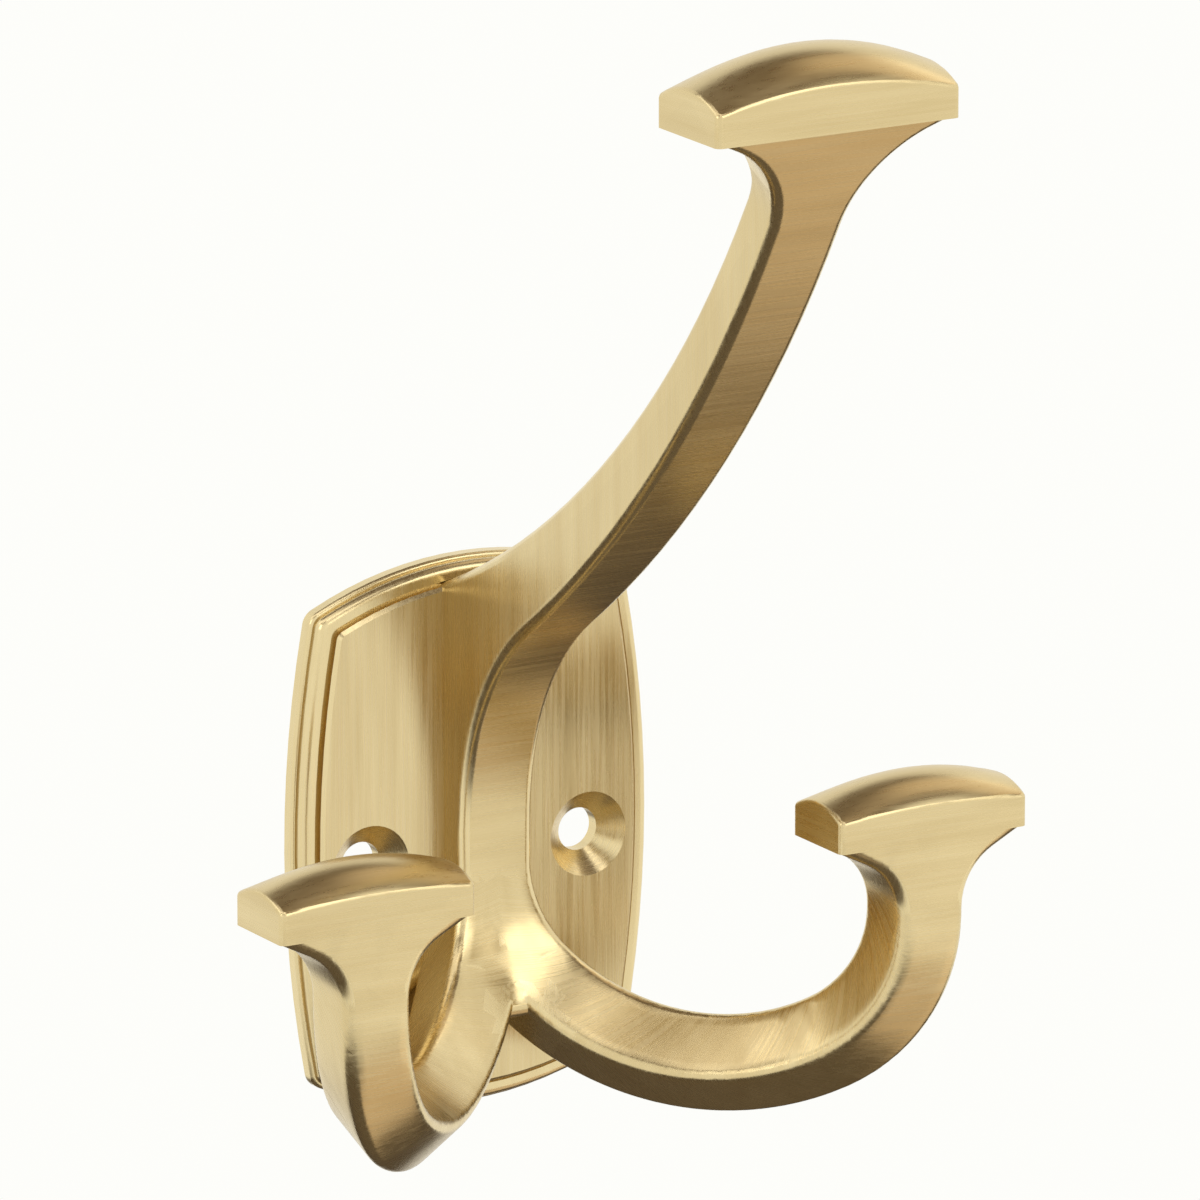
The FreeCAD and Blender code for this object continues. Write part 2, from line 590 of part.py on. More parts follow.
def make_branch():
    """The right lower prong: a round-cornered bar swept down, out and up, cut at the middle."""
    body = new_body("branch")
    start_y = now.prong_thickness / 2 - now.strap_front
    start_c = "(Sizes.prong_thickness / 2 - Sizes.strap_front)"
    path = Outline(body, "prong_path", "XZ_Plane", f"-{start_c}", PRONG_TURN)
    reach = now.prong_spread * math.sqrt(2)
    hub_1 = (now.leave_radius, now.split_height)
    hub_3 = (reach - now.turn_radius, now.neck_height)
    hub_2 = crossing(hub_1, now.belly_radius - now.leave_radius,
                     hub_3, now.belly_radius - now.turn_radius)
    down, up = heading(hub_2, hub_1) % 360, heading(hub_2, hub_3) % 360
    leave = path.arc(hub_1, now.leave_radius, 180, down)
    belly = path.arc(hub_2, now.belly_radius, down, up)
    turn = path.arc(hub_3, now.turn_radius, up, 360)
    path.hold("Tangent", leave, END, belly, START)
    path.hold("Tangent", belly, END, turn, START)
    path.radius(leave, "Sizes.leave_radius")
    path.radius(belly, "Sizes.belly_radius")
    path.radius(turn, "Sizes.turn_radius")
    path.place(leave, START, "0", "Sizes.split_height")
    path.set_y(leave, CENTRE, "Sizes.split_height")
    path.place(turn, END, "Sizes.prong_spread * sqrt(2)", "Sizes.neck_height")
    path.set_y(turn, CENTRE, "Sizes.neck_height")

    first = Outline(body, "prong_start", "XY_Plane", "Sizes.split_height")
    half_w, half_t = now.stem_width / 2, now.prong_thickness / 2
    first.round_rectangle((-half_w, half_w, start_y - half_t, start_y + half_t, now.edge_round),
                          "0", start_c, "Sizes.stem_width", "Sizes.prong_thickness",
                          "Sizes.edge_round")
    last = Outline(body, "prong_end", "XY_Plane", "Sizes.neck_height")
    end_y = start_y - now.prong_spread
    half_d = now.prong_end_width / 2
    last.round_rectangle((now.prong_spread - half_t, now.prong_spread + half_t,
                          end_y - half_d, end_y + half_d, now.edge_round),
                         "Sizes.prong_spread", f"({start_c} - Sizes.prong_spread)",
                         "Sizes.prong_thickness", "Sizes.prong_end_width", "Sizes.edge_round")
    doc.recompute()
    bar = body.newObject("PartDesign::AdditivePipe", "prong")
    bar.Profile = first.sketch
    bar.Spine = path.sketch
    bar.Sections = [last.sketch]
    bar.Transformation = "Multisection"
    doc.recompute()

    outline = Outline(body, "waste", "XY_Plane")
    side, front, root = now.stem_width, now.strap_front + now.stem_width, now.web_root
    edges = outline.polygon([(0, -front), (0, -root), (side, -root), (side, CLEAR),
                             (-side, CLEAR), (-side, -front)])
    for n, edge in enumerate(edges):
        outline.hold("Horizontal" if n % 2 else "Vertical", edge)
    outline.place(edges[0], START, "0", "-Sizes.strap_front - Sizes.stem_width")
    outline.place(edges[2], START, "Sizes.stem_width", "-Sizes.web_root")
    outline.place(edges[4], START, "-Sizes.stem_width", str(CLEAR))
    add_pocket(body, "middle_cut", outline)
    return body


def make_tip():
    """The right lower prong's neck and head."""
    body = new_body("tip")
    mid, mid_c = now.prong_spread, "Sizes.prong_spread"
    face = (now.prong_thickness - now.prong_end_width) / 2 - now.strap_front - now.prong_spread
    face_c = ("((Sizes.prong_thickness - Sizes.prong_end_width) / 2 - Sizes.strap_front"
              " - Sizes.prong_spread)")
    outline = Outline(body, "neck_block", "XY_Plane", "Sizes.neck_height")
    half = now.low_length / 2
    corners = [(mid - half, face), (mid + half, face), (mid + half, face + now.low_depth),
               (mid - half, face + now.low_depth)]
    edges = outline.polygon(corners)
    for n, edge in enumerate(edges):
        outline.hold("Vertical" if n % 2 else "Horizontal", edge)
    outline.place(edges[0], START, f"{mid_c} - Sizes.low_length / 2", face_c)
    outline.place(edges[2], START, f"{mid_c} + Sizes.low_length / 2",
                  f"{face_c} + Sizes.low_depth")
    add_pad(body, "neck", outline, "Sizes.low_seat - Sizes.neck_height")

    outline = Outline(body, "neck_front_view", "XZ_Plane")
    names = ("prong_thickness", "low_length", "low_flare_radius", "low_flare_slope")
    seat = (now.low_seat, "Sizes.low_seat")
    foot = (now.neck_height - CLEAR, f"Sizes.neck_height - {CLEAR}")
    for side in (1, -1):
        draw_flare(outline, side, (mid, mid_c), names, seat, foot)
    add_pocket(body, "neck_flares", outline)

    outline = Outline(body, "neck_side_view", "YZ_Plane", mid_c)
    back, heel = face + now.prong_end_width, face + now.low_depth - now.head_step
    radius = now.low_cove_radius
    turn = math.degrees(math.acos((heel - back - radius) / radius))
    start = now.low_seat - radius * sin(turn)
    foot_z = now.neck_height - CLEAR
    wall = outline.line((back, foot_z), (back, start))
    cove = outline.arc((back + radius, start), radius, turn, 180)
    roof = outline.line((heel, now.low_seat), (heel + CLEAR, now.low_seat))
    flank = outline.line((heel + CLEAR, now.low_seat), (heel + CLEAR, foot_z))
    floor = outline.line((heel + CLEAR, foot_z), (back, foot_z))
    outline.hold("Tangent", wall, END, cove, END)
    outline.hold("Coincident", cove, START, roof, START)
    for edge, following in ((roof, flank), (flank, floor), (floor, wall)):
        outline.hold("Coincident", edge, END, following, START)
    for kind, edge in (("Vertical", wall), ("Horizontal", roof),
                       ("Vertical", flank), ("Horizontal", floor)):
        outline.hold(kind, edge)
    outline.radius(cove, "Sizes.low_cove_radius")
    outline.place(wall, START, f"{face_c} + Sizes.prong_end_width",
                  f"Sizes.neck_height - {CLEAR}")
    outline.place(roof, START, f"{face_c} + Sizes.low_depth - Sizes.head_step",
                  "Sizes.low_seat")
    outline.set_x(roof, END, f"{face_c} + Sizes.low_depth + {CLEAR}")
    neck = add_pocket(body, "neck_cove", outline)
    add_round(body, "neck_edges", neck, "Sizes.edge_round",
              long_edge_test(mid, now.prong_thickness, now.low_seat))
    add_head(body, "low", (mid, mid_c), (face, face_c))
    return body


def make_saddle():
    """The rounded bridge between the two lower prongs, where they part."""
    body = new_body("saddle")
    outline = Outline(body, "saddle_side_view", "YZ_Plane")
    foot, crest = now.split_height - now.saddle_foot, now.split_height - now.saddle_crest
    swell, root = -now.strap_front - now.saddle_swell, now.saddle_root - now.strap_front
    hub = (-now.strap_front - now.saddle_reach, foot + now.saddle_nose)
    lean = heading(hub, (swell, crest)) + math.degrees(
        math.acos(now.saddle_nose / math.dist(hub, (swell, crest))))
    touch = (hub[0] + now.saddle_nose * cos(lean), hub[1] + now.saddle_nose * sin(lean))
    under = outline.line((root, foot), (hub[0], foot))
    nose = outline.arc(hub, now.saddle_nose, lean, 270)
    front = outline.line(touch, (swell, crest))
    over = outline.line((swell, crest), (root, crest))
    rear = outline.line((root, crest), (root, foot))
    outline.hold("Tangent", under, END, nose, END)
    outline.hold("Tangent", nose, START, front, START)
    for edge, following in ((front, over), (over, rear), (rear, under)):
        outline.hold("Coincident", edge, END, following, START)
    for kind, edge in (("Horizontal", under), ("Horizontal", over), ("Vertical", rear)):
        outline.hold(kind, edge)
    outline.radius(nose, "Sizes.saddle_nose")
    outline.set_x(nose, CENTRE, "-Sizes.strap_front - Sizes.saddle_reach")
    outline.place(under, START, "Sizes.saddle_root - Sizes.strap_front",
                  "Sizes.split_height - Sizes.saddle_foot")
    outline.place(over, START, "-Sizes.strap_front - Sizes.saddle_swell",
                  "Sizes.split_height - Sizes.saddle_crest")
    add_pad(body, "bridge", outline, "Sizes.saddle_width", both_ways=True)
    return body


def mirrored(body):
    """The left-hand copy of a right-hand body."""
    copy = doc.addObject("Part::Mirroring", body.Name + "_left")
    copy.Source = body
    copy.Normal = FreeCAD.Vector(1, 0, 0)
    return copy


plate = make_plate()
stem = make_stem()
branch = make_branch()
tip = make_tip()
saddle = make_saddle()
casting = doc.addObject("Part::MultiFuse", "hook_body")
casting.Label = "hook_body"
casting.Shapes = [plate, stem, branch, tip, saddle, mirrored(branch), mirrored(tip)]
casting.Refine = True
doc.recompute()

for item in doc.Objects:
    if "Invalid" in item.State or "Error" in item.State:
        raise RuntimeError(f"{item.Label} did not build: {item.State}")
if casting.Shape.isNull() or not casting.Shape.isValid():
    raise RuntimeError("hook_body has no valid shape")
if len(casting.Shape.Solids) != 1:
    raise RuntimeError("hook_body is not one solid")

os.makedirs("parts", exist_ok=True)
casting.Shape.exportStep("parts/" + casting.Label + ".step")
print("hook_body", round(casting.Shape.Volume, 1), "mm3,", casting.Shape.BoundBox)
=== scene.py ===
import logging
import math
from dataclasses import dataclass, field
from enum import Enum

import bpy
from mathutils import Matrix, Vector


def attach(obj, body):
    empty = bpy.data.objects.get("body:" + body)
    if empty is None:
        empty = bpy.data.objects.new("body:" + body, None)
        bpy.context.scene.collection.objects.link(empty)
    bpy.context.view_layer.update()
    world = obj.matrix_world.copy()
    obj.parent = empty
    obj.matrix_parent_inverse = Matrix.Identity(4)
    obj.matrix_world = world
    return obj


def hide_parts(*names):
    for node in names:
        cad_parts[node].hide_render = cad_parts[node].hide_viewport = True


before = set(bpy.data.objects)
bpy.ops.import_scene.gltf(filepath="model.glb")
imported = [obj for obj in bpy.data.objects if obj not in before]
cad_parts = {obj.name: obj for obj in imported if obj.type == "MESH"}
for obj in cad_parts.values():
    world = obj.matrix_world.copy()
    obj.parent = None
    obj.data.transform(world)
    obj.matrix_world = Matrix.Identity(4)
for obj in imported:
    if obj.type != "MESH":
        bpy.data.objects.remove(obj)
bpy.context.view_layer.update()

# Looks of the triple prong wall hook: one satin brass casting, brushed along its faces.
# Lengths are in metres. The wall is the plane y = 0, and the hook stands out along -Y.

Colour = tuple[float, float, float]
Direction = tuple[float, float, float]
Socket = bpy.types.NodeSocket
Value = Socket | float

SIDEWAYS: Direction = (1.0, 0.0, 0.0)
INWARDS: Direction = (0.0, 1.0, 0.0)
UPWARDS: Direction = (0.0, 0.0, 1.0)
DIAGONAL = math.sqrt(0.5)

# Nearly all of a noise pattern lies between these two values.
NOISE_LOW = 0.3
NOISE_HIGH = 0.7

# Paler brass than the casting's own: painted light, which makes the plate's field, its rim and
# the countersinks render lighter.
PAINTED_LIGHT_BRASS: Colour = (0.87, 0.72, 0.41)
WHITE_LIGHT: Colour = (1.0, 1.0, 1.0)

log = logging.getLogger("wall_hook")


class Brushing(Enum):
    """The ways in which the faces of the casting were brushed."""

    FIELD = "field"
    UPRIGHT = "upright"
    ACROSS = "across"
    ENDS = "ends"
    RIM = "rim"
    BEND = "bend"
    CROWN = "crown"
    TURNED = "turned"


class NodeGraph:
    """A material's node tree, with short calls to add and join nodes."""

    def __init__(self, name: str) -> None:
        """Start an empty material.

        Args:
            name: The material's name.
        """
        self.material = bpy.data.materials.new(name)
        self.material.use_nodes = True
        self.tree = self.material.node_tree
        self.tree.nodes.clear()
        self.output = self.add("ShaderNodeOutputMaterial")

    def add(self, kind: str, **settings: object) -> bpy.types.Node:
        """Add a node and set its properties.

        Args:
            kind: The node's type.
            **settings: Values of the node's own properties.

        Returns:
            The new node.
        """
        node = self.tree.nodes.new(kind)
        for name, value in settings.items():
            setattr(node, name, value)
        return node

    def join(self, source: Socket, target: Socket) -> None:
        """Link one socket to another."""
        self.tree.links.new(source, target)

    def feed(self, value: Value, target: Socket) -> None:
        """Give a socket its value.

        Args:
            value: Another socket, or a plain number.
            target: The socket that takes it.
        """
        if isinstance(value, Socket):
            self.join(value, target)
        else:
            target.default_value = value

    def maths(self, operation: str, first: Value, second: Value | None = None) -> Socket:
        """Add a Math node.

        Args:
            operation: The operation's name.
            first: A socket or a number.
            second: A socket or a number, where the operation takes two.

        Returns:
            The node's result.
        """
        node = self.add("ShaderNodeMath", operation=operation)
        self.feed(first, node.inputs[0])
        if second is not None:
            self.feed(second, node.inputs[1])
        return node.outputs[0]

    def hypotenuse(self, first: Socket, second: Socket) -> Socket:
        """Work out the length of the long side over two sides at a right angle.

        Args:
            first: One side.
            second: The other side.

        Returns:
            The length.
        """
        squares = self.maths("ADD", self.maths("MULTIPLY", first, first),
                             self.maths("MULTIPLY", second, second))
        return self.maths("SQRT", squares)

    def vector(self, x: Value, y: Value, z: Value) -> Socket:
        """Put three values together as a vector.

        Args:
            x: Its first value.
            y: Its second value.
            z: Its third value.

        Returns:
            The vector.
        """
        node = self.add("ShaderNodeCombineXYZ")
        for value, target in zip((x, y, z), node.inputs):
            self.feed(value, target)
        return node.outputs["Vector"]

    def place_split(self) -> tuple[Socket, Socket, Socket]:
        """Read the place on the piece.

        Returns:
            Its X, Y and Z.
        """
        where = self.add("ShaderNodeTexCoord")
        split = self.add("ShaderNodeSeparateXYZ")
        self.join(where.outputs["Object"], split.inputs["Vector"])
        return split.outputs["X"], split.outputs["Y"], split.outputs["Z"]

    def place_along(self, grain: Direction, length: float, width: float) -> Socket:
        """Read the place on the piece, with the X axis laid along one direction.

        Args:
            grain: The direction.
            length: The unit in which the place is counted along it.
            width: The unit in which it is counted across it.

        Returns:
            The place.
        """
        where = self.add("ShaderNodeTexCoord")
        turned = self.add("ShaderNodeMapping", vector_type="TEXTURE")
        turned.inputs["Rotation"].default_value = Vector(grain).to_track_quat("X", "Z").to_euler()
        turned.inputs["Scale"].default_value = (length, width, width)
        self.join(where.outputs["Object"], turned.inputs["Vector"])
        return turned.outputs["Vector"]

    def noise(self, place: Socket, detail: float, crispness: float) -> Socket:
        """Add a noise pattern.

        Args:
            place: The place at which it is read.
            detail: How many finer layers it has.
            crispness: How strong the finer layers are.

        Returns:
            The pattern, a value about 0.5.
        """
        node = self.add("ShaderNodeTexNoise")
        node.inputs["Scale"].default_value = 1.0
        node.inputs["Detail"].default_value = detail
        node.inputs["Roughness"].default_value = crispness
        self.join(place, node.inputs["Vector"])
        return node.outputs["Fac"]

    def spread(self, value: Socket, low: float, high: float) -> Socket:
        """Stretch a noise pattern over another range.

        Args:
            value: The pattern.
            low: What its lowest values give.
            high: What its highest values give.

        Returns:
            The stretched value.
        """
        node = self.add("ShaderNodeMapRange")
        self.join(value, node.inputs["Value"])
        node.inputs["From Min"].default_value = NOISE_LOW
        node.inputs["From Max"].default_value = NOISE_HIGH
        node.inputs["To Min"].default_value = low
        node.inputs["To Max"].default_value = high
        return node.outputs["Result"]

    def blend(self, share: Socket, first: Colour, second: Colour) -> Socket:
        """Mix two colours.

        Args:
            share: How much of the second colour there is.
            first: The first colour.
            second: The second colour.

        Returns:
            The mixed colour.
        """
        node = self.add("ShaderNodeMix", data_type="RGBA")
        self.join(share, node.inputs["Factor"])
        node.inputs["A"].default_value = (*first, 1.0)
        node.inputs["B"].default_value = (*second, 1.0)
        return node.outputs["Result"]


@dataclass(frozen=True)
class BrushedBrass:
    """Satin brass with fine brush lines along one direction."""

    name: str
    grain: Direction
    line_pitch: float = 0.00045
    line_length: float = 0.016
    line_detail: float = 3.0
    line_crispness: float = 0.65
    line_share: float = 0.45
    cloud_length: float = 0.024
    cloud_width: float = 0.0028
    cloud_detail: float = 2.0
    cloud_crispness: float = 0.5
    cloud_share: float = 0.55
    light_tone: Colour = (0.825, 0.675, 0.375)
    deep_tone: Colour = (0.690, 0.540, 0.275)
    smoothest: float = 0.22
    roughest: float = 0.32
    stretch: float = 0.6
    stretch_turn: float = 0.25
    relief: float = 0.35
    relief_depth: float = 0.00004

    def place(self, graph: NodeGraph) -> Socket:
        """Count the place on the piece in line lengths along the grain and pitches across it."""
        return graph.place_along(self.grain, self.line_length, self.line_pitch)

    def clouds(self, graph: NodeGraph) -> Socket:
        """Add soft patches, drawn out along the grain, where the polish differs a little."""
        place = graph.place_along(self.grain, self.cloud_length, self.cloud_width)
        return graph.noise(place, self.cloud_detail, self.cloud_crispness)

    def material(self) -> bpy.types.Material:
        """Build the finish.

        Returns:
            The material.
        """
        graph = NodeGraph(self.name)
        lines = graph.noise(self.place(graph), self.line_detail, self.line_crispness)
        tone = graph.maths("ADD", graph.maths("MULTIPLY", lines, self.line_share),
                           graph.maths("MULTIPLY", self.clouds(graph), self.cloud_share))
        brass = graph.add("ShaderNodeBsdfPrincipled")
        brass.inputs["Metallic"].default_value = 1.0
        brass.inputs["Anisotropic"].default_value = self.stretch
        brass.inputs["Anisotropic Rotation"].default_value = self.stretch_turn
        graph.join(graph.blend(graph.spread(tone, 0.0, 1.0), self.deep_tone, self.light_tone),
                   brass.inputs["Base Color"])
        graph.join(graph.spread(lines, self.smoothest, self.roughest), brass.inputs["Roughness"])
        graph.join(graph.vector(*self.grain), brass.inputs["Tangent"])
        relief = graph.add("ShaderNodeBump")
        relief.inputs["Strength"].default_value = self.relief
        relief.inputs["Distance"].default_value = self.relief_depth
        graph.join(lines, relief.inputs["Height"])
        graph.join(relief.outputs["Normal"], brass.inputs["Normal"])
        graph.join(brass.outputs["BSDF"], graph.output.inputs["Surface"])
        return graph.material


@dataclass(frozen=True)
class TurnedBrass(BrushedBrass):
    """Brass cut by a turning tool, with fine rings round each screw hole."""

    hole_spacing: float = 0.0273
    hole_height: float = -0.002
    breaks_per_radian: float = 1.5

    def place(self, graph: NodeGraph) -> Socket:
        """Count rings outwards from the nearer hole.

        Args:
            graph: The material's nodes.

        Returns:
            The place, as breaks of a ring round the hole and rings out from it.
        """
        x, _, z = graph.place_split()
        aside = graph.maths("SUBTRACT", graph.maths("ABSOLUTE", x), self.hole_spacing / 2)
        above = graph.maths("SUBTRACT", z, self.hole_height)
        rings = graph.maths("DIVIDE", graph.hypotenuse(aside, above), self.line_pitch)
        angle = graph.maths("ARCTAN2", above, aside)
        return graph.vector(graph.maths("MULTIPLY", angle, self.breaks_per_radian), rings, 0.0)


@dataclass(frozen=True)
class BentBrass(BrushedBrass):
    """Brass brushed across the two lower prongs, whose lines turn with the bend."""

    web_front: float = -0.0038
    hub_reach: float = 0.02572
    hub_height: float = 0.00496
    bend_radius: float = 0.029
    slant: float = 1.0

    def place(self, graph: NodeGraph) -> Socket:
        """Measure across the prong, along the bend, and out from the bend's hub.

        Args:
            graph: The material's nodes.

        Returns:
            The place, counted in line lengths, and in pitches along the bend.
        """
        x, y, z = graph.place_split()
        aside = graph.maths("ABSOLUTE", x)
        ahead = graph.maths("SUBTRACT", self.web_front, y)
        reach = graph.maths("MULTIPLY", graph.maths("ADD", aside, ahead), DIAGONAL)
        out = graph.maths("SUBTRACT", reach, self.hub_reach)
        across = graph.maths("MULTIPLY", graph.maths("SUBTRACT", aside, ahead), DIAGONAL)
        rise = graph.maths("SUBTRACT", z, self.hub_height)
        angle = graph.maths("ARCTAN2", out, graph.maths("MULTIPLY", rise, -1.0))
        along = graph.maths("SUBTRACT", graph.maths("MULTIPLY", angle, self.bend_radius),
                            graph.maths("MULTIPLY", across, self.slant))
        return graph.vector(graph.maths("DIVIDE", across, self.line_length),
                            graph.maths("DIVIDE", along, self.line_pitch),
                            graph.maths("DIVIDE", graph.hypotenuse(out, rise), self.line_length))


def brass_finishes() -> dict[Brushing, BrushedBrass]:
    """List the casting's finishes, with painted light in the paler tones of the field, the rim
    and the countersinks.

    Returns:
        The finish for each way of brushing.
    """
    return {
        # The field's light tone is painted light: paler brass that makes the plate render
        # lighter. Its clouds run longer, and its deep tone is darker than elsewhere.
        Brushing.FIELD: BrushedBrass("brass_brushed_field", UPWARDS, cloud_length=0.045,
                                     light_tone=PAINTED_LIGHT_BRASS, deep_tone=(0.65, 0.50, 0.255)),
        Brushing.UPRIGHT: BrushedBrass("brass_brushed_upright", UPWARDS),
        Brushing.ACROSS: BrushedBrass("brass_brushed_across", SIDEWAYS),
        Brushing.ENDS: BrushedBrass("brass_brushed_ends", INWARDS),
        # The rim's two tones are painted light: paler brass, so that the plate's border renders
        # lighter.
        Brushing.RIM: BrushedBrass("brass_rim", UPWARDS, light_tone=PAINTED_LIGHT_BRASS,
                                   deep_tone=(0.78, 0.63, 0.34), relief=0.03, stretch=0.0),
        Brushing.BEND: BentBrass("brass_brushed_bend", UPWARDS, relief=0.22, stretch=0.0),
        Brushing.CROWN: BrushedBrass("brass_crown", SIDEWAYS, smoothest=0.26, relief=0.02,
                                     stretch=0.2),
        # The countersinks' two tones are painted light: paler brass, so that they render lighter.
        Brushing.TURNED: TurnedBrass("brass_turned", INWARDS, light_tone=PAINTED_LIGHT_BRASS,
                                     deep_tone=(0.76, 0.61, 0.33), line_pitch=0.0002,
                                     relief=0.18, stretch=0.0),
    }


@dataclass(frozen=True)
class Crown:
    """The arched top of a head: where it lies and how far it rises."""

    middle: float
    front: float
    length: float
    depth: float
    seat: float
    end_height: float
    bow_rise: float
    end_rise: float
    crown_rise: float
    rounding: float = 0.0006
    reach: float = 0.00012
    step: float = 0.001
    tries: int = 4

    def arch(self, rim: float, rise: float, share: float) -> tuple[float, float]:
        """Find a point of an arch from the front of the head to its back.

        Args:
            rim: The height of the arch's two ends.
            rise: How far its middle stands above them.
            share: The place over the arch, from -1 at the front to 1 at the back.

        Returns:
            The point's distance from the head's middle, and its height.
        """
        half = self.depth / 2
        radius = (half ** 2 + rise ** 2) / (2 * rise)
        turn = math.asin(half / radius) * share
        return radius * math.sin(turn), rim + rise - radius + radius * math.cos(turn)

    def point(self, along: float, share: float) -> Vector:
        """Find a point of the crown.

        Args:
            along: The place over its length, from -1 on the left to 1 on the right.
            share: The place over its depth, from -1 at the front to 1 at the back.

        Returns:
            The point.
        """
        end = self.arch(self.seat + self.end_height, self.end_rise, share)
        top = self.arch(self.seat + self.end_height + self.bow_rise, self.crown_rise, share)
        part = along ** 2
        deep, high = (a * part + b * (1 - part) for a, b in zip(end, top))
        return Vector((self.middle + along * self.length / 2,
                       self.front + self.depth / 2 + deep, high))

    def facing(self, along: float, share: float) -> Vector:
        """Find the outward direction of the crown at one of its points.

        Args:
            along: The place over its length, from -1 on the left to 1 on the right.
            share: The place over its depth, from -1 at the front to 1 at the back.

        Returns:
            The direction.
        """
        sideways = self.point(along + self.step, share) - self.point(along - self.step, share)
        backwards = self.point(along, share + self.step) - self.point(along, share - self.step)
        return sideways.cross(backwards).normalized()

    def spot(self, place: Vector) -> tuple[float, float]:
        """Find the place over the crown that lies level with a point.

        Args:
            place: The point.

        Returns:
            The places over its length and over its depth, from -1 to 1 each.
        """
        half = self.depth / 2
        along = (place.x - self.middle) / (self.length / 2)
        share = (place.y - self.front - half) / half
        for _ in range(self.tries):
            share += (place.y - self.point(along, share).y) / half
        return along, share

    def holds(self, place: Vector) -> bool:
        """Say whether a point lies on the crown, inside the rounding of its rim.

        Args:
            place: The point.

        Returns:
            Whether it does.
        """
        from_end = self.length / 2 - abs(place.x - self.middle)
        from_side = self.depth / 2 - abs(place.y - self.front - self.depth / 2)
        if min(from_end, from_side) < 0 or abs(place.z - self.seat) > self.length:
            return False
        along, share = self.spot(place)
        if abs(self.point(along, share).z - place.z) > self.reach:
            return False
        side = self.facing(along, math.copysign(1, share))
        end = self.facing(math.copysign(1, along), share)
        return (from_side > self.rounding * (1 - abs(side.y))
                and from_end > self.rounding * (1 - abs(end.x)))


def head_crowns() -> list[Crown]:
    """List the crowns of the three heads.

    Returns:
        The top head's crown, then those of the left and the right lower head.
    """
    low_middle = 0.0344
    top = Crown(middle=0.0, front=-0.0782, length=0.0293, depth=0.0123, seat=0.0928,
                end_height=0.0033, bow_rise=0.0018, end_rise=0.0017, crown_rise=0.0033)
    low = [Crown(middle=middle, front=-0.0423, length=0.0236, depth=0.0101, seat=0.0036,
                 end_height=0.0034, bow_rise=0.0006, end_rise=0.0013, crown_rise=0.0028)
           for middle in (-low_middle, low_middle)]
    return [top, *low]


